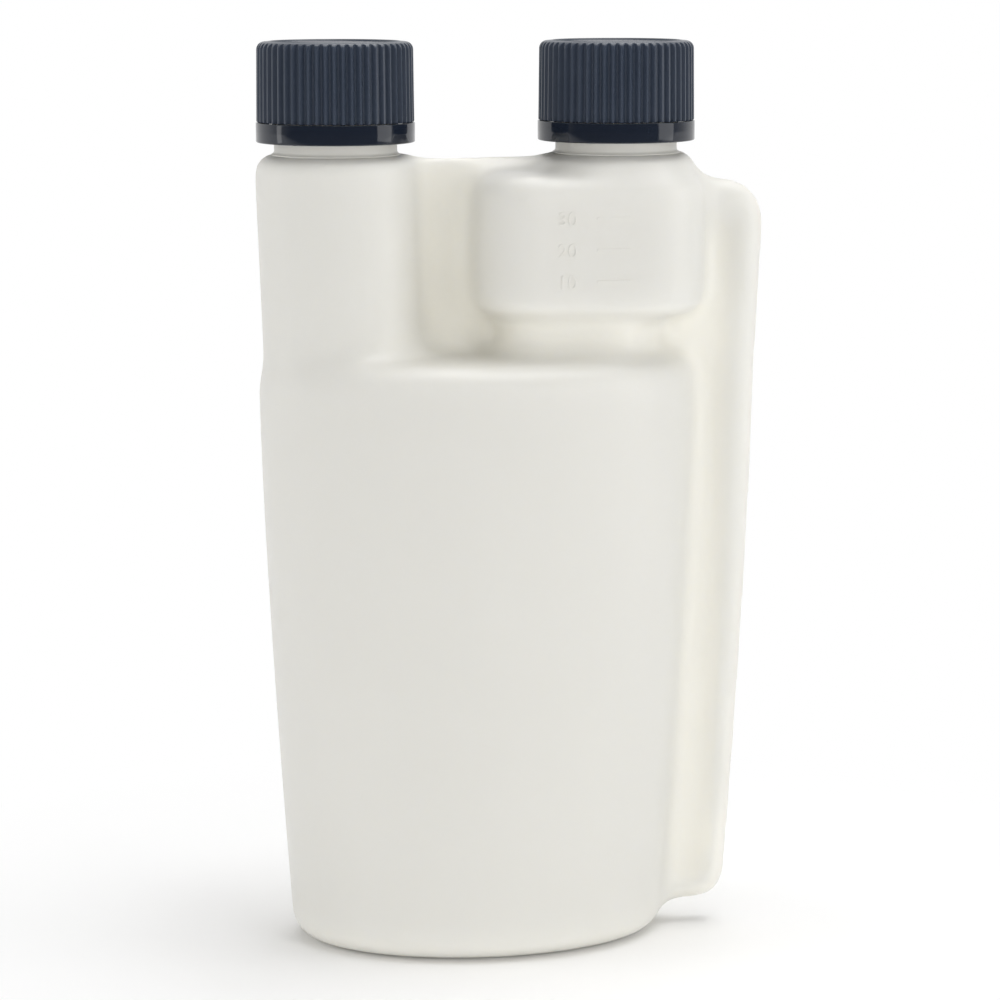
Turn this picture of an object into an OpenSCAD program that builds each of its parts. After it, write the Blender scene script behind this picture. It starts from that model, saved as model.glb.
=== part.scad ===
// Twin-neck measuring squeeze bottle with ribbed screw caps, in millimetres.
// X runs across the two necks, Y through the bottle's depth, Z up from the standing surface.

/* [Reservoir] */
// Height of the flat shoulder above the standing surface
body_h = 122.5; // [90:0.5:150]
// Half width of the reservoir at its foot
foot_half_w = 38.8; // [34:0.1:42]
// Half width of the reservoir at its shoulder
shoulder_half_w = 44.9; // [44:0.1:50]
// Half depth of the reservoir at its foot
foot_half_d = 27; // [22:0.1:28]
// Half depth of the reservoir at its shoulder
shoulder_half_d = 28.2; // [24:0.1:34]
// Radius of the rounded shoulder edge
shoulder_r = 6; // [3:0.1:9]
// Radius of the rounded edge at the foot
foot_r = 5; // [3:0.1:7]
// Width of the flat rim that the bottle stands on
stand_w = 3.2; // [2:0.1:6]
// Height of the dished centre of the base
dish_h = 1.8; // [0.8:0.1:3]

/* [Walls] */
// Thickness of the blown wall
wall = 1.2; // [0.8:0.05:1.8]
// Thickness of the webs, where both walls are pinched together
web_t = 2.4; // [1.6:0.1:4]

/* [Measuring chamber] */
// Gap between the reservoir's shoulder and the chamber's floor
slot_h = 8.2; // [5:0.1:14]
// Height of the chamber from its floor to its shoulder
chamber_h = 29.3; // [24:0.1:31]
// Distance from the chamber's left wall to the right neck's axis
chamber_left = 30.6; // [22:0.1:32]
// Distance from the right neck's axis to the chamber's right wall
chamber_right = 16.9; // [16.7:0.1:17.6]
// Half depth of the chamber
chamber_half_d = 20; // [17:0.1:24]
// Radius of the chamber's upright corners
chamber_corner_r = 13; // [9:0.1:15.5]
// Radius of the chamber's floor edge
chamber_floor_r = 4; // [2:0.1:7]
// Radius of the chamber's shoulder edge
chamber_top_r = 6; // [3:0.1:8]

/* [Filler column] */
// Radius of the round columns that carry the necks
column_r = 16.4; // [15.6:0.1:16.6]
// Radius of the rounded shoulder under each neck
column_top_r = 3.4; // [1.5:0.1:3.6]
// How far the filler column's foot leans towards the middle
column_lean = 1.3; // [0.8:0.1:3]

/* [Side tube] */
// Distance from the reservoir's side to the outer side of the tube
tube_reach = 13.3; // [12:0.1:16]
// Half width of the tube at its foot
tube_foot_half_w = 2.9; // [2.4:0.05:3.4]
// Half width of the tube at its top
tube_top_half_w = 4.2; // [3.4:0.05:4.6]
// Half height of the passage from the tube into the chamber
passage_half_h = 4.9; // [3.8:0.05:5.1]
// Half depth of the tube at its foot
tube_foot_half_d = 3.4; // [2.6:0.1:5]
// Half depth of the tube at its top
tube_top_half_d = 4.4; // [3:0.1:6]
// Height of the tube's underside above the standing surface
tube_foot_z = 4.6; // [3.4:0.1:8]
// Drop from the necks' shoulders to the top of the tube
tube_drop = 5.6; // [4.4:0.1:9]

/* [Necks] */
// Distance between the axes of the two necks
neck_spacing = 57.7; // [56.5:0.1:64]
// Height of the necks' shoulders above the chamber's shoulder
neck_rise = 3.4; // [2.4:0.1:12]
// Outer radius of the neck's wall
neck_r = 12.45; // [12.2:0.05:12.6]
// Radius of the bore through the neck
bore_r = 10.75; // [9.5:0.05:11.2]
// Height of each neck above its shoulder
neck_h = 19.7; // [18.5:0.1:22]
// Radius over the bead that holds the tamper ring down
bead_r = 13.85; // [13.5:0.05:13.9]
// Height of the bead
bead_h = 1.3; // [0.8:0.1:1.6]

/* [Thread] */
// Rise of the thread in one turn
pitch = 3.175; // [2.8:0.025:3.4]
// Turns of thread on the neck
neck_turns = 1.5; // [1:0.25:2]
// Turns of thread inside the cap
cap_turns = 1.1; // [0.5:0.1:1.3]
// Depth of the thread
thread_h = 1.2; // [0.8:0.05:1.25]
// Half width of the thread at its root
thread_root_half = 0.95; // [0.7:0.05:1]
// Half width of the thread at its crest
thread_crest_half = 0.35; // [0.2:0.05:0.5]

/* [Caps] */
// Radius over the ribs at the cap's lower edge
cap_r = 15.95; // [15.7:0.05:16.6]
// How much smaller the radius is at the top
cap_taper = 0.15; // [0:0.05:0.4]
// Number of ribs round the cap
rib_count = 56; // [36:1:72]
// Depth of the grooves between the ribs
rib_depth = 0.55; // [0.3:0.05:0.6]
// Share of the rib's pitch taken by its crest
rib_crest_share = 0.5; // [0.35:0.05:0.6]
// Radius of the rounded top edge
cap_edge_r = 1.6; // [0.8:0.1:2.5]
// Thickness of the cap's top
cap_top_t = 1.5; // [1.2:0.1:2.4]
// Radius of the shallow dish in the cap's top
cap_dish_r = 12.8; // [10:0.1:13.4]
// Depth of the shallow dish in the cap's top
cap_dish_h = 0.3; // [0.1:0.05:0.5]
// Thickness of the foam liner
liner_t = 1.2; // [0.8:0.1:1.6]

/* [Tamper rings] */
// Height of a tamper ring
ring_h = 3.7; // [3:0.1:4.5]
// Outer radius of a tamper ring
ring_r = 16.1; // [15.8:0.05:16.8]
// Thickness of a tamper ring's wall
ring_wall = 1.2; // [0.8:0.05:1.5]
// Gap between a tamper ring and the shoulder under it
ring_gap = 2.3; // [1.5:0.1:3.5]
// Gap where the bridges join a tamper ring to its cap
bridge_gap = 0.4; // [0.3:0.05:0.7]
// Thickness of the lip that catches under the bead
catch_t = 0.8; // [0.5:0.05:1.1]

/* [Clearances] */
// Clearance between pieces that turn or slide on each other
run_clear = 0.3; // [0.2:0.05:0.4]
// Clearance at flat faces that seal on the liner
seal_clear = 0.04; // [0.02:0.01:0.1]

/* [Hidden] */

$fn = 96;
milky = [0.9, 0.89, 0.86];
navy_black = [0.16, 0.18, 0.22];
foam_white = [0.93, 0.93, 0.91];

// Points round one ring of a moulded shape, and rings along each rounded edge
ring_n = 44;
tube_ring_n = 20;
edge_steps = 5;
bend_steps = 6;
side_steps = 5;

// The sides of the reservoir swell towards the shoulder
side_swell = 1.4;
side_z = body_h - shoulder_r;
side_rise = 0.05;

filler_x = -neck_spacing / 2;
measuring_x = neck_spacing / 2;

chamber_z = body_h + slot_h;
chamber_mid_x = measuring_x + (chamber_right - chamber_left) / 2;
chamber_half_w = (chamber_right + chamber_left) / 2;
neck_z = chamber_z + chamber_h + neck_rise;
column_top_z = neck_z - column_top_r;
// The leaning column ends here, under the turned shoulder that it carries, and is a hair slimmer
lean_top_z = column_top_z - 2;
lean_inset = 0.03;

tube_top_z = neck_z - tube_drop;
foot_bend_r = tube_foot_half_w + 0.3;
top_bend_r = passage_half_h + 0.5;
tube_path_low = tube_foot_z + tube_foot_half_w;
tube_path_high = tube_top_z - passage_half_h;

ring_z = neck_z + ring_gap;
cap_z = ring_z + ring_h + bridge_gap;
lip_z = neck_z + neck_h;
liner_z = lip_z + seal_clear;
ceiling_z = liner_z + liner_t + seal_clear;
cap_top_z = ceiling_z + cap_top_t;
bead_z = ring_z + ring_h + 0.5;
skirt_r = bead_r + run_clear;
catch_r = neck_r + run_clear;
thread_z = bead_z + bead_h + thread_root_half + 0.9;
cap_thread_turn = 0.5 + (run_clear + 0.1) / pitch;
sink = 0.25;

// The middle of the whole width is at x = 0
mid_x = (tube_out_x(tube_path_high - top_bend_r) - max(column_r - filler_x, shoulder_half_w)) / 2;

// Half width of the reservoir's side at a height; above the shoulder the line runs on for the tube
function side_x(z) = z > side_z ? shoulder_half_w + (z - side_z) * side_rise
    : foot_half_w + (shoulder_half_w - foot_half_w) * (1 - pow(1 - z / side_z, side_swell));
function side_y(z) = foot_half_d
    + (shoulder_half_d - foot_half_d) * (1 - pow(1 - min(z, side_z) / side_z, side_swell));
function tube_out_x(z) = side_x(z) + tube_reach;

// Cross-sections: an oval, and a box with rounded corners, each laid at a height by level()
function oval(n, half_w, half_d) =
    [for (i = [0 : n - 1]) let (t = 360 * i / n) [half_w * cos(t), half_d * sin(t)]];
function rounded_box(n, half_w, half_d, r) = let (last = n / 4 - 1)
    [for (q = [0 : 3], k = [0 : last]) let (
        t = 90 * (q + k / last),
        side = q == 0 || q == 3 ? 1 : -1,
        face = q < 2 ? 1 : -1)
        [side * (half_w - r) + r * cos(t), face * (half_d - r) + r * sin(t)]];
function level(section, x, z) = [for (p = section) [x + p[0], p[1], z]];
function mix(a, b, t) = a + (b - a) * t;

// A closed skin over rings that follow each other
module skin(rings) {
    n = len(rings[0]);
    last = len(rings) - 1;
    polyhedron(
        points = [for (r = rings) each r],
        faces = concat(
            [[for (i = [0 : n - 1]) i]],
            [for (k = [0 : last - 1], i = [0 : n - 1]) let (a = k * n + i, b = k * n + (i + 1) % n)
                each [[a, a + n, b + n], [a, b + n, b]]],
            [[for (i = [n - 1 : -1 : 0]) last * n + i]]));
}

// The reservoir, drawn in by an inset for the cavity; lift raises the cavity's floor over the dish
function reservoir_rings(inset, lift) = concat(
    [for (k = [0 : edge_steps]) let (
        t = 90 * k / edge_steps,
        r = foot_r - inset,
        z = inset + lift + r * (1 - cos(t)),
        draw = inset + r * (1 - sin(t)))
        level(oval(ring_n, side_x(z) - draw, side_y(z) - draw), 0, z)],
    [for (k = [1 : side_steps - 1]) let (z = mix(foot_r + lift, side_z, k / side_steps))
        level(oval(ring_n, side_x(z) - inset, side_y(z) - inset), 0, z)],
    [for (k = [0 : edge_steps]) let (
        t = 90 * k / edge_steps,
        r = shoulder_r - inset,
        z = side_z + r * sin(t),
        draw = inset + r * (1 - cos(t)))
        level(oval(ring_n, shoulder_half_w - draw, shoulder_half_d - draw), 0, z)]);

// The measuring chamber
function chamber_level(draw, z) = level(
    rounded_box(ring_n, chamber_half_w - draw, chamber_half_d - draw, chamber_corner_r - draw),
    chamber_mid_x, z);
function chamber_rings(inset) = concat(
    [for (k = [0 : edge_steps]) let (
        t = 90 * k / edge_steps,
        r = chamber_floor_r - inset,
        draw = inset + r * (1 - sin(t)))
        chamber_level(draw, chamber_z + inset + r * (1 - cos(t)))],
    [for (k = [0 : edge_steps]) let (
        t = 90 * k / edge_steps,
        r = chamber_top_r - inset,
        draw = inset + r * (1 - cos(t)))
        chamber_level(draw, chamber_z + chamber_h - chamber_top_r + r * sin(t))]);

// The leaning lower part of the filler column, from inside the reservoir up to its shoulder
function column_rings(inset, from_z) = [for (z = [from_z, lean_top_z]) let (
    r = column_r - inset - lean_inset,
    lean = column_lean * (lean_top_z - z) / (lean_top_z - body_h))
    level(oval(ring_n, r, r), filler_x + lean, z)];

// The side tube's middle line: out of the reservoir, up beside it and over into the chamber
function tube_half_w(z) =
    mix(tube_foot_half_w, tube_top_half_w, (z - tube_path_low) / (tube_path_high - tube_path_low));
function tube_half_d(z) =
    mix(tube_foot_half_d, tube_top_half_d, (z - tube_path_low) / (tube_path_high - tube_path_low));
function tube_mid_x(z) = tube_out_x(z) - tube_half_w(z);
function tube_path(foot_in, top_in) = let (
    foot_z = tube_path_low + foot_bend_r,
    top_z = tube_path_high - top_bend_r,
    foot_x = tube_mid_x(foot_z),
    top_x = tube_mid_x(top_z)) concat(
    [[foot_in, tube_path_low, tube_foot_half_w]],
    [for (k = [0 : bend_steps]) let (t = 90 * k / bend_steps)
        [foot_x - foot_bend_r * (1 - sin(t)), foot_z - foot_bend_r * cos(t), tube_foot_half_w]],
    [for (k = [1 : side_steps - 1]) let (z = mix(foot_z, top_z, k / side_steps))
        [tube_mid_x(z), z, tube_half_w(z)]],
    [for (k = [0 : bend_steps]) let (t = 90 * k / bend_steps)
        [top_x - top_bend_r * (1 - cos(t)), top_z + top_bend_r * sin(t),
         mix(tube_half_w(top_z), passage_half_h, k / bend_steps)]],
    [[top_in, tube_path_high, passage_half_h]]);
function heading(path, i) = let (
    a = path[max(i - 1, 0)],
    b = path[min(i + 1, len(path) - 1)],
    d = [b[0] - a[0], b[1] - a[1]]) d / norm(d);
function tube_rings(path, inset) = [for (i = [0 : len(path) - 1]) let (
    p = path[i],
    d = heading(path, i),
    half_d = tube_half_d(p[1]) - inset)
    [for (q = oval(tube_ring_n, p[2] - inset, half_d))
        [p[0] + q[0] * d[1], q[1], p[1] - q[0] * d[0]]]];

// A quarter of a circle as points, about a centre
function arc(x, z, r, from, to, steps) =
    [for (k = [0 : steps]) let (t = mix(from, to, k / steps)) [x + r * cos(t), z + r * sin(t)]];

// Outside of a neck with its round column below, turned about its axis
module neck_outside(from_z) {
    foot_fillet = 0.5;
    lip_round = 0.5;
    rotate_extrude() polygon(concat(
        [[0, from_z], [column_r, from_z]],
        arc(column_r - column_top_r, column_top_z, column_top_r, 0, 90, 8),
        arc(neck_r + foot_fillet, neck_z + foot_fillet, foot_fillet, 270, 180, 4),
        [[neck_r, bead_z], [bead_r, bead_z + 0.1], [bead_r, bead_z + bead_h * 0.5],
         [neck_r, bead_z + bead_h]],
        arc(neck_r - lip_round, lip_z - lip_round, lip_round, 0, 90, 4),
        [[0, lip_z]]));
}

// The bore of a neck, widening under the shoulder
module neck_inside(from_z) {
    in_r = column_r - wall;
    round_r = column_top_r - wall;
    rotate_extrude() polygon(concat(
        [[0, from_z], [in_r, from_z]],
        arc(in_r - round_r, neck_z - wall - round_r, round_r, 0, 90, 6),
        [[bore_r + 0.8, neck_z - wall], [bore_r, neck_z - wall + 0.8],
         [bore_r, lip_z + 1], [0, lip_z + 1]]));
}

// A helical thread; root_r is on the wall that carries it, crest_r is its free edge
module thread(root_r, crest_r, start_z, turns, start_turn) {
    steps = ceil(turns * 32);
    out = sign(crest_r - root_r);
    fade = 3;
    rings = [for (k = [0 : steps]) let (
        a = 360 * (start_turn + turns * k / steps),
        z = start_z + pitch * (a / 360),
        full = min(1, 0.15 + 0.85 * min(k, steps - k) / fade),
        r = mix(root_r, crest_r, full),
        section = [[root_r - out * sink, thread_root_half], [root_r - out * sink, -thread_root_half],
                   [r, -thread_crest_half], [r, thread_crest_half]])
        [for (i = [0 : 3]) let (s = section[out > 0 ? 3 - i : i]) [s[0] * cos(a), s[0] * sin(a), z + s[1]]]];
    skin(rings);
}

// Hollow of the dished base
module base_dish() {
    x = foot_half_w - foot_r - stand_w;
    y = foot_half_d - foot_r - stand_w;
    skin([
        level(oval(ring_n, x + 0.5, y + 0.5), 0, -0.5),
        level(oval(ring_n, x - dish_h, y - dish_h), 0, dish_h)]);
}

// The webs on the parting plane, between the column, the chamber, the reservoir and the tube
module webs() {
    sag = 0.5;
    low = tube_path_low;
    high = tube_path_high;
    top_edge = [for (k = [0 : 12]) let (t = k / 12)
        [mix(filler_x, measuring_x, t), neck_z - 0.4 - sag * sin(180 * t)]];
    right_edge = [for (k = [0 : 8]) let (z = mix(high, low, k / 8)) [tube_mid_x(z) - 1, z]];
    rotate([90, 0, 0]) linear_extrude(height = web_t, center = true)
        polygon(concat(top_edge, [[measuring_x, high]], right_edge, [[0, low], [filler_x, side_z]]));
}

// The blown bottle: one moulding with its hollows joined to each other
module bottle() {
    tube_from = foot_half_w - 4;
    tube_to = measuring_x + chamber_right - 5;
    path_out = tube_path(tube_from, tube_to);
    path_in = tube_path(tube_from - wall - 1, tube_to - wall - 1);
    color(milky) translate([-mid_x, 0, 0]) difference() {
        union() {
            skin(reservoir_rings(0, 0));
            skin(column_rings(0, side_z - 6));
            skin(chamber_rings(0));
            skin(tube_rings(path_out, 0));
            webs();
            translate([filler_x, 0, 0]) neck_outside(lean_top_z);
            translate([measuring_x, 0, 0]) neck_outside(chamber_z + chamber_h / 2);
            for (x = [filler_x, measuring_x])
                translate([x, 0, 0]) thread(neck_r, neck_r + thread_h, thread_z, neck_turns, 0);
        }
        skin(reservoir_rings(wall, dish_h));
        skin(column_rings(wall, side_z - 2));
        skin(chamber_rings(wall));
        skin(tube_rings(path_in, wall));
        translate([filler_x, 0, 0]) neck_inside(lean_top_z);
        translate([measuring_x, 0, 0]) neck_inside(chamber_z + chamber_h / 2);
        base_dish();
    }
}

// Ribbed outline of a cap, seen from above
module rib_outline() {
    step = 360 / rib_count;
    root_r = cap_r - rib_depth;
    crest = step * rib_crest_share / 2;
    floor_half = step * 0.14;
    polygon([for (i = [0 : rib_count - 1], q = [[-crest, cap_r + 0.2], [crest, cap_r + 0.2],
                  [step / 2 - floor_half, root_r], [step / 2 + floor_half, root_r]])
        [q[1] * cos(i * step + q[0]), q[1] * sin(i * step + q[0])]]);
}

// Solid outer form of a cap: a slight cone with a rounded top edge and a shallow dish in the top
module cap_form() {
    top_r = cap_r - cap_taper;
    rotate_extrude() polygon(concat(
        [[0, cap_z], [cap_r, cap_z]],
        arc(top_r - cap_edge_r, cap_top_z - cap_edge_r, cap_edge_r, 0, 90, 6),
        [[cap_dish_r + cap_dish_h, cap_top_z], [cap_dish_r, cap_top_z - cap_dish_h],
         [0, cap_top_z - cap_dish_h]]));
}

module cap(x) {
    color(navy_black) translate([x - mid_x, 0, 0]) union() {
        difference() {
            intersection() {
                cap_form();
                translate([0, 0, cap_z - 1]) linear_extrude(height = cap_top_z - cap_z + 2) rib_outline();
            }
            translate([0, 0, cap_z - 1]) cylinder(r = skirt_r, h = ceiling_z - cap_z + 1);
        }
        thread(skirt_r, skirt_r - thread_h, thread_z - pitch / 2, cap_turns, cap_thread_turn - 0.1);
    }
}

// Foam disc that seals the cap on the lip of the neck
module cap_liner(x) {
    color(foam_white) translate([x - mid_x, 0, liner_z])
        cylinder(r = skirt_r - run_clear, h = liner_t);
}

// Smooth band left round the neck, with a lip that catches under the bead
module tamper_ring(x) {
    in_r = ring_r - ring_wall;
    top = ring_z + ring_h;
    edge = 0.3;
    color(navy_black) translate([x - mid_x, 0, 0]) rotate_extrude() polygon([
        [in_r, ring_z], [ring_r - edge, ring_z], [ring_r, ring_z + edge],
        [ring_r, top - edge], [ring_r - edge, top], [in_r, top],
        [catch_r, top - 0.1], [catch_r, top - catch_t], [in_r, top - 2 * catch_t]]);
}

bottle();
cap(filler_x);  // filler_cap
cap_liner(filler_x);  // filler_cap_liner
tamper_ring(filler_x);  // filler_tamper_ring
cap(measuring_x);  // measuring_cap
cap_liner(measuring_x);  // measuring_cap_liner
tamper_ring(measuring_x);  // measuring_tamper_ring
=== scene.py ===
"""Measuring squeeze bottle: one milky blown bottle with two threaded necks, each under a ribbed screw cap."""
import math

import bmesh
import bpy
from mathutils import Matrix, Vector


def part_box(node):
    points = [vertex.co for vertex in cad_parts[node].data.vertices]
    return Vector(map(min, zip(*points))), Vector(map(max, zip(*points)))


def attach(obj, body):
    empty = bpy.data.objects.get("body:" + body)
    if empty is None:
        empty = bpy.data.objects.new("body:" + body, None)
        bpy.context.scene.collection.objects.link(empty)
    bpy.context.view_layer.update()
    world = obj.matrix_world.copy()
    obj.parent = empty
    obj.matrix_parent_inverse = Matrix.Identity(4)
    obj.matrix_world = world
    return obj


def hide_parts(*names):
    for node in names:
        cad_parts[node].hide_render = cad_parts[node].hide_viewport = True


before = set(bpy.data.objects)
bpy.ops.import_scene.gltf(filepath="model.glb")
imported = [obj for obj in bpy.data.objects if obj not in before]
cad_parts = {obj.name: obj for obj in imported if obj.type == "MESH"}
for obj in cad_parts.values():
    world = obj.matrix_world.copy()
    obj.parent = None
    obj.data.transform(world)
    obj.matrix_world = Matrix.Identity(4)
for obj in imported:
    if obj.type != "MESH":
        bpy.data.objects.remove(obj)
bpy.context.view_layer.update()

mm = 0.001
near = 0.01 * mm

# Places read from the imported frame
lip_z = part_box("bottle")[1].z
band_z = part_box("filler_tamper_ring")[0].z
band_top_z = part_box("filler_tamper_ring")[1].z
cap_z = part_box("filler_cap")[0].z
cap_top_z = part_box("filler_cap")[1].z
wad_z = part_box("filler_cap_liner")[0].z
wad_top_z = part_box("filler_cap_liner")[1].z
filler_x = sum(corner.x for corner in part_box("filler_cap_liner")) / 2
measuring_x = sum(corner.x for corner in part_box("measuring_cap_liner")) / 2
neck_spacing = measuring_x - filler_x
body_x = (filler_x + measuring_x) / 2

# Reservoir
body_h = 122.5 * mm
foot_half_w = 38.8 * mm
shoulder_half_w = 44.9 * mm
foot_half_d = 27 * mm
shoulder_half_d = 28.2 * mm
shoulder_r = 6 * mm
foot_r = 5 * mm
stand_w = 3.2 * mm
dish_h = 1.8 * mm
side_swell = 1.4
side_rise = 0.05
side_z = body_h - shoulder_r

# Walls
wall = 1.2 * mm
web_t = 2.4 * mm

# Measuring chamber
chamber_z = body_h + 8.2 * mm
chamber_h = 29.3 * mm
chamber_left = 30.6 * mm
chamber_right = 16.9 * mm
chamber_half_w = (chamber_left + chamber_right) / 2
chamber_half_d = 20 * mm
chamber_corner_r = 13 * mm
chamber_floor_r = 4 * mm
chamber_top_r = 6 * mm
chamber_x = measuring_x + (chamber_right - chamber_left) / 2

# Necks and the round columns that carry them
neck_z = chamber_z + chamber_h + 3.4 * mm
neck_r = 12.45 * mm
bore_r = 10.75 * mm
column_r = 16.4 * mm
column_top_r = 3.4 * mm
column_lean = 1.3 * mm
bead_z = band_top_z + 0.5 * mm
bead_h = 1.3 * mm
bead_r = 13.85 * mm

# Side tube
tube_reach = 13.3 * mm
tube_foot_half_w = 2.9 * mm
tube_top_half_w = 4.2 * mm
passage_half_h = 4.9 * mm
tube_foot_half_d = 3.4 * mm
tube_top_half_d = 4.4 * mm
tube_low = 4.6 * mm + tube_foot_half_w
tube_high = neck_z - 5.6 * mm - passage_half_h
foot_bend_r = tube_foot_half_w + 0.3 * mm
top_bend_r = passage_half_h - 0.7 * mm

# Thread
pitch = 3.175 * mm
thread_h = 1.2 * mm
thread_root_half = 0.95 * mm
thread_crest_half = 0.35 * mm
thread_z = bead_z + bead_h + thread_root_half + 0.9 * mm
neck_turns = 1.5
cap_turns = 1.1
cap_thread_turn = 0.526

# Caps, liners and bands
cap_r = 15.95 * mm
cap_taper = 0.15 * mm
cap_edge_r = 1.6 * mm
rib_count = 56
rib_steps = 10
rib_depth = 0.8 * mm
dish_r = 12.8 * mm
dish_step = 0.3 * mm
skirt_r = 14.15 * mm
ceiling_z = wad_top_z + 0.04 * mm
wad_r = 13.85 * mm
band_r = 16.1 * mm
band_wall = 1.2 * mm
catch_r = neck_r + 0.3 * mm
nub_count = 12


# How pieces are started, shaped and finished

def begin(name):
    """Names the primitive that was just added and opens it for editing, all of it selected."""
    piece = bpy.context.object
    bpy.ops.object.transform_apply(location=True, rotation=True, scale=True)
    piece.name = name
    piece.data.name = name
    bpy.ops.object.mode_set(mode="EDIT")
    bpy.ops.mesh.select_all(action="SELECT")
    return piece


def close(piece):
    """Merges what meets, turns all faces outwards and leaves edit mode with nothing selected."""
    bpy.ops.mesh.select_all(action="SELECT")
    bpy.ops.mesh.remove_doubles(threshold=0.0005 * mm)
    bpy.ops.mesh.normals_make_consistent(inside=False)
    bpy.ops.object.mode_set(mode="OBJECT")
    bpy.ops.object.select_all(action="DESELECT")
    return piece


def activate(piece):
    bpy.ops.object.select_all(action="DESELECT")
    piece.select_set(True)
    bpy.context.view_layer.objects.active = piece


def reopen(piece):
    activate(piece)
    bpy.ops.object.mode_set(mode="EDIT")
    bpy.ops.mesh.select_all(action="SELECT")


def pick(test):
    """Selects the vertices whose place passes the test."""
    bpy.ops.mesh.select_mode(type="VERT")
    bpy.ops.mesh.select_all(action="DESELECT")
    mesh = bpy.context.object.data
    cage = bmesh.from_edit_mesh(mesh)
    for vertex in cage.verts:
        if test(vertex.co):
            vertex.select_set(True)
    cage.select_flush_mode()
    bmesh.update_edit_mesh(mesh)


def pick_edges(test):
    """Selects the edges whose two ends pass the test."""
    bpy.ops.mesh.select_mode(type="EDGE")
    bpy.ops.mesh.select_all(action="DESELECT")
    mesh = bpy.context.object.data
    cage = bmesh.from_edit_mesh(mesh)
    for edge in cage.edges:
        if test(edge.verts[0].co, edge.verts[1].co):
            edge.select_set(True)
    cage.select_flush_mode()
    bmesh.update_edit_mesh(mesh)


def raise_face(move):
    bpy.ops.mesh.extrude_region_move(TRANSFORM_OT_translate={"value": move})


def size_by(factors, place):
    bpy.ops.transform.resize(value=factors, center_override=place)


def turn(angle, axis, place):
    """Turns the selection; with no window the operator itself turns the other way."""
    bpy.ops.transform.rotate(value=-angle, orient_axis=axis, center_override=place)


def modify(piece, kind, **settings):
    """Adds a modifier with its settings and applies it."""
    activate(piece)
    bpy.ops.object.modifier_add(type=kind)
    modifier = piece.modifiers[-1]
    for name, value in settings.items():
        setattr(modifier, name, value)
    bpy.ops.object.modifier_apply(modifier=modifier.name)
    return piece


def join(name, pieces):
    activate(pieces[0])
    for piece in pieces:
        piece.select_set(True)
    bpy.ops.object.join()
    pieces[0].name = name
    return pieces[0]


def merge(piece, other, operation="UNION"):
    """Adds another closed piece to this one or cuts it away."""
    modify(piece, "BOOLEAN", operation=operation, solver="EXACT", object=other)
    bpy.data.objects.remove(other)
    return piece


def copy_along(piece, name, move):
    """A copy with its own mesh, set off by a distance."""
    activate(piece)
    bpy.ops.object.duplicate()
    twin = bpy.context.object
    twin.name = name
    bpy.ops.object.mode_set(mode="EDIT")
    bpy.ops.mesh.select_all(action="SELECT")
    bpy.ops.transform.translate(value=move)
    bpy.ops.object.mode_set(mode="OBJECT")
    return twin


def stack(name, sides, rings):
    """A closed solid of rings, each raised from the last: X, height, half width and half depth."""
    x, z, half_w, half_d = rings[0]
    bpy.ops.mesh.primitive_circle_add(vertices=sides, radius=1, fill_type="NGON")
    piece = begin(name)
    size_by((half_w, half_d, 1), (0, 0, 0))
    bpy.ops.transform.translate(value=(x, 0, z))
    for next_x, next_z, next_w, next_d in rings[1:]:
        raise_face((next_x - x, 0, next_z - z))
        size_by((next_w / half_w, next_d / half_d, 1), (next_x, 0, next_z))
        x, z, half_w, half_d = next_x, next_z, next_w, next_d
    return close(piece)


def lathe(name, sides, x, outline):
    """A ring turned about an upright axis from a closed outline of radius and height."""
    radius, z = outline[0]
    bpy.ops.mesh.primitive_circle_add(vertices=sides, radius=radius, location=(x, 0, z))
    piece = begin(name)
    for next_radius, next_z in outline[1:] + outline[:1]:
        raise_face((0, 0, next_z - z))
        size_by((next_radius / radius, next_radius / radius, 1), (x, 0, next_z))
        radius, z = next_radius, next_z
    return close(piece)


def rounding(radius, steps):
    """Points of a quarter circle as pairs: how far along and how far up, both from 0 to the radius."""
    turns = [math.pi / 2 * step / steps for step in range(steps + 1)]
    return [(radius * (1 - math.cos(angle)), radius * math.sin(angle)) for angle in turns]


# The bottle's forms, each drawn in by an inset for the hollow inside it

def side_share(z):
    return 1 - (1 - min(z, side_z) / side_z) ** side_swell


def side_x(z):
    """Half width of the reservoir at a height; above the shoulder the line runs on for the tube."""
    if z > side_z:
        return shoulder_half_w + (z - side_z) * side_rise
    return foot_half_w + (shoulder_half_w - foot_half_w) * side_share(z)


def side_y(z):
    return foot_half_d + (shoulder_half_d - foot_half_d) * side_share(z)


def reservoir(inset):
    """The oval main hollow, with a dished base and rounded foot and shoulder."""
    lift = dish_h if inset else 0
    rings = []
    if not inset:
        rim_w = foot_half_w - foot_r - stand_w
        rim_d = foot_half_d - foot_r - stand_w
        rings = [
            (body_x, dish_h, rim_w - dish_h, rim_d - dish_h),
            (body_x, 0, rim_w, rim_d),
        ]
    for drawn, risen in rounding(foot_r - inset, 6)[::-1]:
        z = inset + lift + foot_r - inset - risen
        rings.append((body_x, z, side_x(z) - inset - drawn, side_y(z) - inset - drawn))
    side_steps = 14
    for step in range(1, side_steps):
        z = foot_r + lift + (side_z - foot_r - lift) * step / side_steps
        rings.append((body_x, z, side_x(z) - inset, side_y(z) - inset))
    for drawn, risen in rounding(shoulder_r - inset, 8):
        in_by = inset + drawn
        rings.append((body_x, side_z + risen, shoulder_half_w - in_by, shoulder_half_d - in_by))
    return stack("reservoir", 128, rings)


def shouldered(name, x, foot_x, foot_z, inset):
    """A round column with a rounded shoulder under a neck."""
    radius = column_r - inset
    top = neck_z - column_top_r
    rings = [(foot_x, foot_z, radius, radius)]
    for drawn, risen in rounding(column_top_r - inset, 6):
        rings.append((x, top + risen, radius - drawn, radius - drawn))
    return stack(name, 96, rings)


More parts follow.
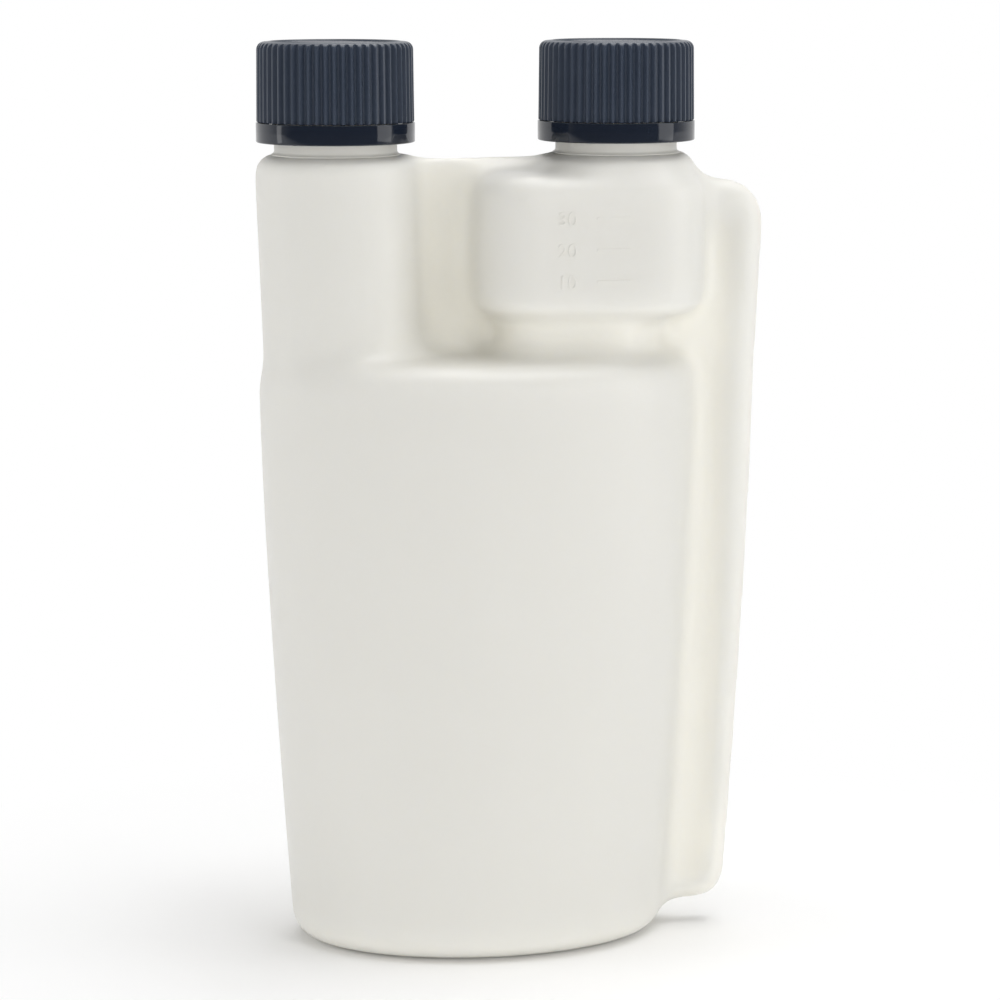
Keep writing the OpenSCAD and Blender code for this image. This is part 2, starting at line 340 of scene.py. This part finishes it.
def column(inset):
    """The leaning round column under the filler neck."""
    top = neck_z - column_top_r
    foot = side_z - 4 * mm
    foot_x = filler_x + column_lean * (top - foot) / (top - body_h)
    return shouldered("column", filler_x, foot_x, foot, inset)


def chamber_neck(inset):
    """The round shoulder that stands on the measuring chamber."""
    return shouldered("chamber_neck", measuring_x, measuring_x, chamber_z + chamber_h / 2, inset)


def chamber(inset):
    """The measuring chamber: a block with round corners and rounded floor and shoulder edges."""
    middle = chamber_z + chamber_h / 2
    size = (2 * (chamber_half_w - inset), 2 * (chamber_half_d - inset), chamber_h - 2 * inset)
    bpy.ops.mesh.primitive_cube_add(size=1, location=(chamber_x, 0, middle), scale=size)
    piece = begin("chamber")
    pick_edges(lambda a, b: abs(a.z - b.z) > chamber_h / 2)
    bpy.ops.mesh.bevel(offset=chamber_corner_r - inset, segments=10, affect="EDGES")
    pick_edges(lambda a, b: min(a.z, b.z) > middle + chamber_h / 2 - inset - mm)
    bpy.ops.mesh.bevel(offset=chamber_top_r - inset, segments=8, affect="EDGES")
    pick_edges(lambda a, b: max(a.z, b.z) < middle - chamber_h / 2 + inset + mm)
    bpy.ops.mesh.bevel(offset=chamber_floor_r - inset, segments=6, affect="EDGES")
    return close(piece)


def tube_half_w(z):
    return tube_foot_half_w + (tube_top_half_w - tube_foot_half_w) * (z - tube_low) / (tube_high - tube_low)


def tube_half_d(z):
    return tube_foot_half_d + (tube_top_half_d - tube_foot_half_d) * (z - tube_low) / (tube_high - tube_low)


def tube_mid_x(z):
    return body_x + side_x(z) + tube_reach - tube_half_w(z)


def tube_stations(from_x, to_x):
    """The tube's middle line from the reservoir's foot to the chamber: place, heading and half width."""
    foot_z = tube_low + foot_bend_r
    top_z = tube_high - top_bend_r
    stations = [(from_x, tube_low, 0, tube_foot_half_w)]
    bend_steps = 8
    for step in range(bend_steps + 1):
        angle = math.pi / 2 * step / bend_steps
        x = tube_mid_x(foot_z) - foot_bend_r * (1 - math.sin(angle))
        stations.append((x, foot_z - foot_bend_r * math.cos(angle), angle, tube_foot_half_w))
    rise_steps = 10
    for step in range(1, rise_steps):
        z = foot_z + (top_z - foot_z) * step / rise_steps
        stations.append((tube_mid_x(z), z, math.pi / 2, tube_half_w(z)))
    for step in range(bend_steps + 1):
        angle = math.pi / 2 * step / bend_steps
        share = step / bend_steps
        x = tube_mid_x(top_z) - top_bend_r * (1 - math.cos(angle))
        width = tube_half_w(top_z) * (1 - share) + passage_half_h * share
        stations.append((x, top_z + top_bend_r * math.sin(angle), math.pi / 2 + angle, width))
    stations.append((to_x, tube_high, math.pi, passage_half_h))
    return stations


def tube(inset):
    """The side tube, an oval section drawn along its middle line."""
    from_x = body_x + foot_half_w - 4 * mm - inset
    to_x = measuring_x + chamber_right - 5 * mm - inset
    stations = tube_stations(from_x, to_x)
    x, z, heading, half_w = stations[0]
    half_w = half_w - inset
    half_d = tube_half_d(z) - inset
    quarter = (0, math.pi / 2, 0)
    bpy.ops.mesh.primitive_circle_add(vertices=48, radius=1, fill_type="NGON", rotation=quarter)
    piece = begin("tube")
    size_by((1, half_d, half_w), (0, 0, 0))
    bpy.ops.transform.translate(value=(x, 0, z))
    for next_x, next_z, next_heading, next_w in stations[1:]:
        next_w = next_w - inset
        next_d = tube_half_d(next_z) - inset
        place = (next_x, 0, next_z)
        raise_face((next_x - x, 0, next_z - z))
        turn(heading - next_heading, "Y", place)
        size_by((next_w / half_w, next_d / half_d, next_w / half_w), place)
        x, z, heading, half_w, half_d = next_x, next_z, next_heading, next_w, next_d
    return close(piece)


def web():
    """The plate on the parting plane, where both walls are pinched together."""
    top_drop = 0.4 * mm
    sag = 0.5 * mm
    columns = 12
    top = neck_z - top_drop
    right = tube_mid_x(tube_high)
    size = (right - filler_x, web_t, top - tube_low)
    middle = ((right + filler_x) / 2, 0, (top + tube_low) / 2)
    bpy.ops.mesh.primitive_cube_add(size=1, location=middle, scale=size)
    piece = begin("web")
    # The right edge follows the tube from its foot to the passage
    foot_x = tube_mid_x(tube_low) - mm
    edge_x = tube_mid_x(tube_high) - mm
    lean = Vector((tube_high - tube_low, 0, foot_x - edge_x))
    bpy.ops.mesh.bisect(plane_co=(foot_x, 0, tube_low), plane_no=lean, use_fill=True, clear_outer=True)
    # Above the passage the web ends under the measuring neck
    bpy.ops.mesh.select_all(action="SELECT")
    bpy.ops.mesh.bisect(plane_co=(0, 0, tube_high), plane_no=(0, 0, 1))
    pick(lambda co: co.z > tube_high + 0.1 * mm and co.x > measuring_x)
    bpy.ops.transform.resize(value=(0, 1, 1), center_override=(measuring_x, 0, 0))
    for step in range(1, columns):
        bpy.ops.mesh.select_all(action="SELECT")
        x = filler_x + neck_spacing * step / columns
        bpy.ops.mesh.bisect(plane_co=(x, 0, 0), plane_no=(1, 0, 0))
        pick(lambda co, x=x: abs(co.x - x) < near and co.z > top - near)
        bpy.ops.transform.translate(value=(0, 0, -sag * math.sin(math.pi * step / columns)))
    return close(piece)


def soft_form(name, parts, voxel, growths):
    """Fuses parts into one form and gives its inner corners a fillet by growing and shrinking it."""
    form = join(name, parts)
    modify(form, "REMESH", mode="VOXEL", voxel_size=voxel, use_smooth_shade=True)
    for growth in growths + [-growth for growth in growths]:
        modify(form, "DISPLACE", strength=growth, mid_level=0)
        modify(form, "REMESH", mode="VOXEL", voxel_size=voxel, use_smooth_shade=True)
        modify(form, "SMOOTH", factor=0.5, iterations=3)
    modify(form, "SMOOTH", factor=0.5, iterations=4)
    return form


def seam_line(form):
    """A fine raised line all round where the two mould halves met."""
    half_width = 0.35 * mm
    height = 0.12 * mm
    reopen(form)
    for y in (-half_width, half_width, 0):
        bpy.ops.mesh.select_all(action="SELECT")
        bpy.ops.mesh.bisect(plane_co=(0, y, 0), plane_no=(0, 1, 0))
    bpy.ops.transform.shrink_fatten(value=height)
    bpy.ops.object.mode_set(mode="OBJECT")
    return form


def neck():
    """The filler neck above its shoulder: wall, bead and lip."""
    foot = 0.5 * mm
    lip_r = 0.5 * mm
    outline = [
        (neck_r + 1.2 * foot, neck_z - mm),
        (neck_r + 1.2 * foot, neck_z - 0.1 * mm),
        (neck_r + 0.4 * foot, neck_z + 0.3 * foot),
        (neck_r, neck_z + foot),
        (neck_r, bead_z - 0.15 * mm),
        (bead_r - 0.15 * mm, bead_z),
        (bead_r, bead_z + 0.15 * mm),
        (bead_r, bead_z + bead_h * 0.5),
        (neck_r + 0.1 * mm, bead_z + bead_h),
        (neck_r, bead_z + bead_h + 0.15 * mm),
    ]
    for drawn, risen in rounding(lip_r, 4):
        outline.append((neck_r - drawn, lip_z - lip_r + risen))
    return stack("neck", 128, [(filler_x, z, radius, radius) for radius, z in outline])


def bore(x):
    """What is cut out of a neck, from under its shoulder to past the lip."""
    flare = 0.8 * mm
    ceiling = neck_z - wall
    outline = [
        (bore_r + flare, ceiling - mm),
        (bore_r + flare, ceiling - 0.1 * mm),
        (bore_r, ceiling + flare),
        (bore_r, lip_z + mm),
    ]
    return stack("bore", 96, [(x, z, radius, radius) for radius, z in outline])


def thread(root_r, crest_r, start_z, turns, start_turn):
    """A screw thread about the filler axis, fading out of the wall at both ends."""
    steps_per_turn = 40
    fade_steps = 4
    sink = 0.25 * mm if crest_r > root_r else -0.25 * mm
    step_angle = 2 * math.pi / steps_per_turn
    steps = round(turns * steps_per_turn)

    def crest_at(step):
        share = min(1, 0.15 + 0.85 * min(step, steps - step) / fade_steps)
        return root_r + (crest_r - root_r) * share

    axis = (filler_x, 0, 0)
    plane_half = 0.5
    upright = (math.pi / 2, 0, 0)
    bpy.ops.mesh.primitive_plane_add(size=2 * plane_half, location=(filler_x, 0, start_z), rotation=upright)
    piece = begin("thread")
    root_x = filler_x + root_r - sink
    crest_x = filler_x + crest_at(0)
    for side, x, half in ((-1, root_x, thread_root_half), (1, crest_x, thread_crest_half)):
        for end in (-1, 1):
            corner = Vector((filler_x + side * plane_half, 0, start_z + end * plane_half))
            pick(lambda co: (co - corner).length < plane_half / 2)
            move = (x - filler_x - side * plane_half, 0, end * (half - plane_half))
            bpy.ops.transform.translate(value=move)
    bpy.ops.mesh.select_all(action="SELECT")
    turn(2 * math.pi * start_turn, "Z", axis)
    z = start_z
    angle = 2 * math.pi * start_turn
    for step in range(1, steps + 1):
        raise_face((0, 0, pitch / steps_per_turn))
        turn(step_angle, "Z", axis)
        angle = angle + step_angle
        z = z + pitch / steps_per_turn
        if crest_at(step) != crest_at(step - 1):
            heading = Vector((math.cos(angle), math.sin(angle), 0))
            middle = (root_r - sink + crest_at(step - 1)) / 2
            outwards = crest_r > root_r
            pick(lambda co: crest_end(co, heading, z, middle, outwards))
            factor = crest_at(step) / crest_at(step - 1)
            size_by((factor, factor, 1), (filler_x, 0, z))
            pick(lambda co: on_station(co, heading, z))
    return close(piece)


def on_station(co, heading, z):
    """Whether a point lies on the thread's section at a heading and height."""
    out = Vector((co.x - filler_x, co.y, 0))
    across = abs(out.x * heading.y - out.y * heading.x)
    return out.dot(heading) > 0 and across < 0.05 * mm and abs(co.z - z) < 1.1 * thread_root_half


def crest_end(co, heading, z, middle, outwards):
    far = Vector((co.x - filler_x, co.y)).length > middle
    return on_station(co, heading, z) and far == outwards


def graduations():
    """Raised lines and plain numbers on the measuring chamber, at the height of each ten millilitres."""
    first_z = 138.4 * mm
    spacing = 6.34 * mm
    line_x = chamber_x + 3 * mm
    line_w = 7 * mm
    line_h = 0.55 * mm
    number_h = 4 * mm
    relief = 0.18 * mm
    front = -chamber_half_d
    pieces = []
    for index in range(3):
        z = first_z + spacing * index
        size = (line_w, 4 * relief, line_h)
        bpy.ops.mesh.primitive_cube_add(size=1, location=(line_x, front + relief, z), scale=size)
        piece = begin("line")
        pick_edges(lambda a, b: abs(a.y - b.y) > relief)
        bpy.ops.mesh.bevel(offset=0.4 * line_h, segments=3, affect="EDGES")
        pieces.append(close(piece))
        place = (line_x - line_w / 2 - 2 * number_h, front + relief, z - number_h * 0.35)
        bpy.ops.object.text_add(location=place, rotation=(math.pi / 2, 0, 0))
        words = bpy.context.object
        words.data.body = str(10 * (index + 1))
        words.data.size = number_h
        words.data.extrude = 2 * relief
        bpy.ops.object.convert(target="MESH")
        pieces.append(close(begin("number")))
    return join("graduations", pieces)


def bottle_shell():
    """The whole blown bottle with its necks, threads and hollows."""
    outer_parts = [reservoir(0), column(0), chamber(0), chamber_neck(0), tube(0), web()]
    shell = soft_form("bottle_shell", outer_parts, 1.0 * mm, [1.7 * mm, 1.7 * mm])
    seam_line(shell)
    turned = merge(neck(), thread(neck_r, neck_r + thread_h, thread_z, neck_turns, 0))
    twin = copy_along(turned, "measuring_neck", (neck_spacing, 0, 0))
    merge(shell, join("fittings", [turned, twin, graduations()]))
    inner_parts = [reservoir(wall), column(wall), chamber(wall), chamber_neck(wall), tube(wall)]
    hollow = soft_form("hollow", inner_parts, 1.6 * mm, [1.8 * mm])
    merge(hollow, join("bores", [bore(filler_x), bore(measuring_x)]))
    merge(shell, hollow, "DIFFERENCE")
    return shell


# Caps, bands and liners

def rib_profile(share):
    """Depth under the crest at a share of half a rib's pitch, from 0 on the crest to 1 in the groove."""
    crest_share = 0.16
    flank_share = 0.66
    rise = min(max((share - crest_share) / flank_share, 0), 1)
    return rib_depth * rise * rise * (3 - 2 * rise)


def cap_levels():
    """Heights up the outside of a cap, with the plain radius and how deep the grooves may be there."""
    chamfer = 0.15 * mm
    top_r = cap_r - cap_taper
    round_z = cap_top_z - cap_edge_r
    foot_z = cap_z + chamfer
    levels = [(cap_z, cap_r - rib_depth - chamfer, 0)]
    levels += [(cap_z + 0.02 * mm, cap_r - 0.8 * chamfer, 1), (foot_z, cap_r, 1)]
    rise_steps = 4
    for step in range(1, rise_steps + 1):
        share = step / rise_steps
        levels.append((foot_z + (round_z - foot_z) * share, cap_r + (top_r - cap_r) * share, 1))
    for drawn, risen in rounding(cap_edge_r, 9)[1:]:
        levels.append((round_z + risen, top_r - drawn, 1))
    return levels, top_r


def cap_shell():
    """The filler cap: one rib is shaped, spun round the cap, and closed by the top and the skirt's inside."""
    levels, top_r = cap_levels()
    step_angle = 2 * math.pi / (rib_count * rib_steps)
    start = (filler_x, 0, cap_z)
    bpy.ops.mesh.primitive_circle_add(vertices=rib_count * rib_steps, radius=levels[0][1], location=start)
    piece = begin("filler_cap_shell")
    reach = step_angle * (rib_steps / 2 + 0.5)
    pick(lambda co: abs(math.atan2(co.y, co.x - filler_x)) > reach)
    bpy.ops.mesh.delete(type="VERT")
    bpy.ops.mesh.select_all(action="SELECT")
    z = cap_z
    radii = [levels[0][1]] * (rib_steps // 2 + 1)
    for next_z, plain_r, grooved in levels[1:]:
        raise_face((0, 0, next_z - z))
        z = next_z
        wall_r = min(plain_r, top_r) if z > cap_top_z - cap_edge_r else plain_r
        cone_r = max(wall_r, top_r)
        for index in range(rib_steps // 2 + 1):
            share = index / (rib_steps / 2)
            radius = min(plain_r, cone_r - grooved * rib_profile(share))
            place = lambda co: round(abs(math.atan2(co.y, co.x - filler_x)) / step_angle)
            pick(lambda co: abs(co.z - z) < near and place(co) == index)
            factor = radius / radii[index]
            size_by((factor, factor, 1), (filler_x, 0, z))
            radii[index] = radius
        pick(lambda co: abs(co.z - z) < near)
    bpy.ops.mesh.select_all(action="SELECT")
    whole = 2 * math.pi * (rib_count - 1) / rib_count
    bpy.ops.mesh.spin(steps=rib_count - 1, dupli=True, angle=whole, center=start, axis=(0, 0, 1))
    bpy.ops.mesh.select_all(action="SELECT")
    bpy.ops.mesh.remove_doubles(threshold=near)
    # The top: a flat rim, a fine raised ring and the shallow dish
    rim_r = top_r - cap_edge_r
    bead = 0.12 * mm
    top_rings = [
        (dish_r + 0.55 * mm, cap_top_z),
        (dish_r + 0.4 * mm, cap_top_z + bead),
        (dish_r + 0.15 * mm, cap_top_z + bead),
        (dish_r, cap_top_z - 0.1 * mm),
        (dish_r - 0.2 * mm, cap_top_z - dish_step),
        (dish_r - 5 * mm, cap_top_z - dish_step),
    ]
    close_ring(rim_r, cap_top_z, top_rings)
    # The inside: the skirt's wall, and the ceiling over the liner
    inner_rings = [
        (skirt_r + 0.2 * mm, cap_z),
        (skirt_r, cap_z + 0.25 * mm),
        (skirt_r, ceiling_z),
        (skirt_r - 5 * mm, ceiling_z),
    ]
    close_ring(levels[0][1], cap_z, inner_rings)
    close(piece)
    thread_start = thread_z - pitch / 2 + pitch * cap_thread_turn
    return merge(piece, thread(skirt_r, skirt_r - thread_h, thread_start, cap_turns, cap_thread_turn))


def close_ring(radius, z, rings):
    """Draws the open edge at a height inwards through rings of radius and height, and fills the middle."""
    edge_z = z
    pick(lambda co: abs(co.z - edge_z) < near)
    bpy.ops.mesh.select_mode(type="EDGE")
    for next_radius, next_z in rings:
        raise_face((0, 0, next_z - z))
        size_by((next_radius / radius, next_radius / radius, 1), (filler_x, 0, next_z))
        radius, z = next_radius, next_z
    bpy.ops.mesh.edge_face_add()


def band():
    """The glossy band round the filler neck: its rim meets the cap, and torn bridges stand behind it."""
    edge = 0.3 * mm
    inner_r = band_r - band_wall
    catch_h = 0.8 * mm
    rim_z = band_top_z + 0.3 * mm
    rim_edge = 0.12 * mm
    rim_w = 0.75 * mm
    outline = [(inner_r, band_z)]
    outline += [(band_r - edge + risen, band_z + drawn) for drawn, risen in rounding(edge, 3)]
    outline += [(band_r - drawn, rim_z - rim_edge + risen) for drawn, risen in rounding(rim_edge, 3)]
    outline += [
        (band_r - rim_w, rim_z),
        (band_r - rim_w, band_top_z),
        (inner_r, band_top_z),
        (catch_r, band_top_z - 0.1 * mm),
        (catch_r, band_top_z - catch_h),
        (inner_r, band_top_z - 2 * catch_h),
    ]
    ring = lathe("filler_band", 144, filler_x, outline)
    nub_h = 0.33 * mm
    sink = 0.1 * mm
    place = (filler_x + band_r - rim_w - 0.2 * mm, 0, band_top_z + (nub_h - sink) / 2)
    bpy.ops.mesh.primitive_cube_add(size=1, location=place, scale=(0.36 * mm, 0.9 * mm, nub_h + sink))
    nub = begin("nub")
    pick_edges(lambda a, b: abs(a.z - b.z) > nub_h / 2)
    bpy.ops.mesh.bevel(offset=0.1 * mm, segments=2, affect="EDGES")
    bpy.ops.mesh.select_all(action="SELECT")
    around = 2 * math.pi * (nub_count - 1) / nub_count
    bpy.ops.mesh.spin(steps=nub_count - 1, dupli=True, angle=around, center=(filler_x, 0, 0), axis=(0, 0, 1))
    close(nub)
    return merge(ring, nub)


def wad():
    """The foam liner, pressed in a little where it seals on the lip."""
    edge = 0.15 * mm
    press = 0.06 * mm
    outline = [
        (bore_r - 0.3 * mm, wad_z),
        (bore_r, wad_z + press),
        (neck_r, wad_z + press),
        (neck_r + 0.3 * mm, wad_z),
        (wad_r - edge, wad_z),
        (wad_r, wad_z + edge),
        (wad_r, wad_top_z - edge),
        (wad_r - edge, wad_top_z),
    ]
    return stack("filler_liner_disc", 128, [(filler_x, z, radius, radius) for radius, z in outline])


# Materials

def new_material(name):
    material = bpy.data.materials.new(name)
    material.use_nodes = True
    tree = material.node_tree
    return material, tree, tree.nodes["Principled BSDF"]


def node(tree, kind, settings=None, **inputs):
    """Adds a shader node with its settings and the values of its inputs."""
    made = tree.nodes.new(kind)
    for name, value in (settings or {}).items():
        setattr(made, name, value)
    for name, value in inputs.items():
        made.inputs[name.replace("_", " ")].default_value = value
    return made


def plastic_grain():
    """Node group: the fine relief of a mould's surface, and a slow drift for tone and gloss."""
    group = bpy.data.node_groups.new("plastic_grain", "ShaderNodeTree")
    for name, value in (("Grain scale", 2500), ("Drift scale", 30), ("Drift stretch", 1)):
        socket = group.interface.new_socket(name, in_out="INPUT", socket_type="NodeSocketFloat")
        socket.default_value = value
    for name in ("Relief", "Drift"):
        group.interface.new_socket(name, in_out="OUTPUT", socket_type="NodeSocketFloat")
    source = group.nodes.new("NodeGroupInput")
    result = group.nodes.new("NodeGroupOutput")
    place = group.nodes.new("ShaderNodeTexCoord")
    grain = node(group, "ShaderNodeTexNoise", Detail=3, Roughness=0.6)
    drift = node(group, "ShaderNodeTexNoise", Detail=4, Roughness=0.5)
    squeeze = group.nodes.new("ShaderNodeVectorMath")
    squeeze.operation = "MULTIPLY"
    factors = group.nodes.new("ShaderNodeCombineXYZ")
    factors.inputs["X"].default_value = 1
    factors.inputs["Y"].default_value = 1
    link = group.links.new
    link(source.outputs["Drift stretch"], factors.inputs["Z"])
    link(place.outputs["Object"], squeeze.inputs[0])
    link(factors.outputs["Vector"], squeeze.inputs[1])
    link(place.outputs["Object"], grain.inputs["Vector"])
    link(squeeze.outputs["Vector"], drift.inputs["Vector"])
    link(source.outputs["Grain scale"], grain.inputs["Scale"])
    link(source.outputs["Drift scale"], drift.inputs["Scale"])
    link(grain.outputs["Fac"], result.inputs["Relief"])
    link(drift.outputs["Fac"], result.inputs["Drift"])
    return group


def dress(tree, shader, group, tones, gloss, relief, scales):
    """Wires a plastic: two tones and two roughnesses that drift, and a fine relief."""
    grain = node(tree, "ShaderNodeGroup", {"node_tree": group})
    for name, value in zip(("Grain scale", "Drift scale", "Drift stretch"), scales):
        grain.inputs[name].default_value = value
    colour = node(tree, "ShaderNodeMix", {"data_type": "RGBA"})
    colour.inputs["A"].default_value = (*tones[0], 1)
    colour.inputs["B"].default_value = (*tones[1], 1)
    rough = node(tree, "ShaderNodeMapRange", From_Min=0.3, From_Max=0.7, To_Min=gloss[0], To_Max=gloss[1])
    bump = node(tree, "ShaderNodeBump", Strength=relief, Distance=0.05 * mm)
    link = tree.links.new
    link(grain.outputs["Drift"], colour.inputs["Factor"])
    link(colour.outputs["Result"], shader.inputs["Base Color"])
    link(grain.outputs["Drift"], rough.inputs["Value"])
    link(rough.outputs["Result"], shader.inputs["Roughness"])
    link(grain.outputs["Relief"], bump.inputs["Height"])
    link(bump.outputs["Normal"], shader.inputs["Normal"])


def milky_plastic(group):
    material, tree, shader = new_material("milky_plastic")
    tones = ((0.78, 0.757, 0.685), (0.73, 0.711, 0.642))
    dress(tree, shader, group, tones, (0.34, 0.44), 0.25, (1800, 22, 0.35))
    shader.inputs["Subsurface Weight"].default_value = 0.3
    shader.inputs["Subsurface Radius"].default_value = (1, 0.9, 0.7)
    shader.inputs["Subsurface Scale"].default_value = 20 * mm
    shader.inputs["IOR"].default_value = 1.52
    return material


def ribbed_plastic(group):
    material, tree, shader = new_material("ribbed_cap_plastic")
    tones = ((0.028, 0.038, 0.058), (0.036, 0.047, 0.07))
    dress(tree, shader, group, tones, (0.3, 0.4), 0.4, (3500, 120, 1))
    return material


def glossy_plastic(group):
    material, tree, shader = new_material("glossy_band_plastic")
    tones = ((0.007, 0.010, 0.018), (0.010, 0.014, 0.023))
    dress(tree, shader, group, tones, (0.05, 0.09), 0.03, (900, 90, 1))
    return material


def liner_foam(group):
    material, tree, shader = new_material("liner_foam")
    tones = ((0.8, 0.8, 0.78), (0.72, 0.72, 0.7))
    dress(tree, shader, group, tones, (0.8, 0.9), 1, (4000, 900, 1))
    return material


def finish(piece, material, slot, body, *nodes):
    """Smooths a piece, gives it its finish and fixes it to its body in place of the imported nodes."""
    activate(piece)
    bpy.ops.object.shade_smooth_by_angle(angle=math.radians(35))
    piece.data.materials.clear()
    piece.data.materials.append(material)
    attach(piece, body)
    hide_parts(*nodes)


# The stage: a pale floor, a plain white surround, soft lamps and the camera

def floor():
    bpy.ops.mesh.primitive_plane_add(size=6, location=(0, 0, -0.05 * mm))
    plane = bpy.context.object
    plane.name = "floor"
    material, tree, shader = new_material("floor_paper")
    shader.inputs["Base Color"].default_value = (0.93, 0.93, 0.93, 1)
    shader.inputs["Roughness"].default_value = 0.9
    shader.inputs["Specular IOR Level"].default_value = 0
    # Far from the bottle the floor is plain white to the eye, and close by it keeps the shadow
    place = tree.nodes.new("ShaderNodeTexCoord")
    reach = node(tree, "ShaderNodeVectorMath", {"operation": "LENGTH"})
    far = node(tree, "ShaderNodeMapRange", From_Min=0.07, From_Max=0.16)
    paths = tree.nodes.new("ShaderNodeLightPath")
    seen = node(tree, "ShaderNodeMath", {"operation": "MAXIMUM"})
    seen_too = node(tree, "ShaderNodeMath", {"operation": "MAXIMUM"})
    share = node(tree, "ShaderNodeMath", {"operation": "MULTIPLY"})
    white = tree.nodes.new("ShaderNodeEmission")
    mix = tree.nodes.new("ShaderNodeMixShader")
    # In a glossy surface the floor goes dark towards the dark room in front
    split = tree.nodes.new("ShaderNodeSeparateXYZ")
    dark = node(tree, "ShaderNodeMapRange", From_Min=-0.4, From_Max=-0.1, To_Min=0.1, To_Max=1)
    strength = node(tree, "ShaderNodeMath", {"operation": "MAXIMUM"})
    link = tree.links.new
    link(place.outputs["Object"], split.inputs["Vector"])
    link(split.outputs["Y"], dark.inputs["Value"])
    link(dark.outputs["Result"], strength.inputs[0])
    link(paths.outputs["Is Camera Ray"], strength.inputs[1])
    link(strength.outputs["Value"], white.inputs["Strength"])
    link(place.outputs["Object"], reach.inputs[0])
    link(reach.outputs["Value"], far.inputs["Value"])
    link(paths.outputs["Is Camera Ray"], seen.inputs[0])
    link(paths.outputs["Is Glossy Ray"], seen.inputs[1])
    link(seen.outputs["Value"], seen_too.inputs[0])
    link(paths.outputs["Is Transmission Ray"], seen_too.inputs[1])
    link(far.outputs["Result"], share.inputs[0])
    link(seen_too.outputs["Value"], share.inputs[1])
    link(share.outputs["Value"], mix.inputs["Fac"])
    link(shader.outputs["BSDF"], mix.inputs[1])
    link(white.outputs["Emission"], mix.inputs[2])
    link(mix.outputs["Shader"], tree.nodes["Material Output"].inputs["Surface"])
    plane.data.materials.append(material)


def surround():
    """White to the eye, and an even soft light on the bottle."""
    world = bpy.data.worlds.new("surround")
    bpy.context.scene.world = world
    world.use_nodes = True
    tree = world.node_tree
    light = tree.nodes["Background"]
    white = tree.nodes.new("ShaderNodeBackground")
    place = tree.nodes.new("ShaderNodeTexCoord")
    split = tree.nodes.new("ShaderNodeSeparateXYZ")
    level = node(tree, "ShaderNodeMapRange", From_Min=-0.3, From_Max=0.5, To_Min=0.06, To_Max=0.95)
    # Mirror-like surfaces see the dark room in front; soft light comes evenly from all sides
    even = node(tree, "ShaderNodeMix", {"data_type": "FLOAT"})
    even.inputs["A"].default_value = 0.29
    paths = tree.nodes.new("ShaderNodeLightPath")
    mix = tree.nodes.new("ShaderNodeMixShader")
    white.inputs["Color"].default_value = (1, 1, 1, 1)
    light.inputs["Color"].default_value = (1, 1, 1, 1)
    link = tree.links.new
    link(place.outputs["Generated"], split.inputs["Vector"])
    link(split.outputs["Y"], level.inputs["Value"])
    link(paths.outputs["Is Glossy Ray"], even.inputs["Factor"])
    link(level.outputs["Result"], even.inputs["B"])
    link(even.outputs["Result"], light.inputs["Strength"])
    link(paths.outputs["Is Camera Ray"], mix.inputs["Fac"])
    link(light.outputs["Background"], mix.inputs[1])
    link(white.outputs["Background"], mix.inputs[2])
    link(mix.outputs["Shader"], tree.nodes["World Output"].inputs["Surface"])


def lamp(name, place, aim, size, energy, seen_in_gloss=True):
    """A soft rectangular lamp at a place, facing a point."""
    bpy.ops.object.light_add(type="AREA", location=place)
    light = bpy.context.object
    light.name = name
    light.rotation_euler = (Vector(aim) - Vector(place)).to_track_quat("-Z", "Y").to_euler()
    light.data.shape = "RECTANGLE"
    light.data.size = size[0]
    light.data.size_y = size[1]
    light.data.energy = energy
    light.visible_glossy = seen_in_gloss
    return light


def lamps():
    aim = (0, 0, 0.12)
    lamp("right_softbox", (0.66, -0.26, 0.22), aim, (0.34, 0.9), 1.65)
    lamp("left_strip", (-0.74, 0.05, 0.2), aim, (0.11, 0.9), 0.55)
    lamp("top_softbox", (0.15, 0.1, 0.95), aim, (0.8, 0.8), 6.5)
    lamp("left_fill", (-0.74, 0.05, 0.2), aim, (0.5, 0.9), 1.9, seen_in_gloss=False)
    lamp("front_fill", (-0.13, -1.1, 0.17), aim, (0.4, 0.3), 2.1, seen_in_gloss=False)
    lamp("front_left_fill", (-0.75, -0.8, 0.17), aim, (0.5, 0.3), 2.5, seen_in_gloss=False)
    lamp("front_right_fill", (0.42, -0.58, 0.17), aim, (0.3, 0.3), 1.25, seen_in_gloss=False)


def camera():
    """The photograph's view: a long lens, a little from the left and above."""
    bpy.ops.object.camera_add(location=(-0.105, -0.6886, 0.2043))
    eye = bpy.context.object
    eye.name = "camera"
    turn_left = math.radians(8.91)
    look_down = math.radians(9.21)
    eye.rotation_euler = (math.pi / 2 - look_down, 0, -turn_left)
    eye.data.lens = 122.4
    eye.data.sensor_width = 36
    eye.data.shift_x = -0.0262
    bpy.context.scene.camera = eye


def build():
    grain = plastic_grain()
    milky = milky_plastic(grain)
    ribbed = ribbed_plastic(grain)
    glossy = glossy_plastic(grain)
    foam = liner_foam(grain)
    shell = bottle_shell()
    finish(shell, milky, "bottle_plastic", "bottle", "bottle")
    step = (neck_spacing, 0, 0)
    filler_pieces = [cap_shell(), band(), wad()]
    measuring_names = ["measuring_cap_shell", "measuring_band", "measuring_liner_disc"]
    measuring_pieces = [copy_along(piece, name, step) for piece, name in zip(filler_pieces, measuring_names)]
    for side, pieces in (("filler", filler_pieces), ("measuring", measuring_pieces)):
        finish(pieces[0], ribbed, "cap_plastic", side + "_cap", side + "_cap")
        finish(pieces[1], glossy, "band_plastic", "bottle", side + "_tamper_ring")
        finish(pieces[2], foam, "liner_foam", side + "_liner", side + "_cap_liner")


bpy.context.scene.view_settings.view_transform = "Standard"
camera()
build()
floor()
surround()
lamps()
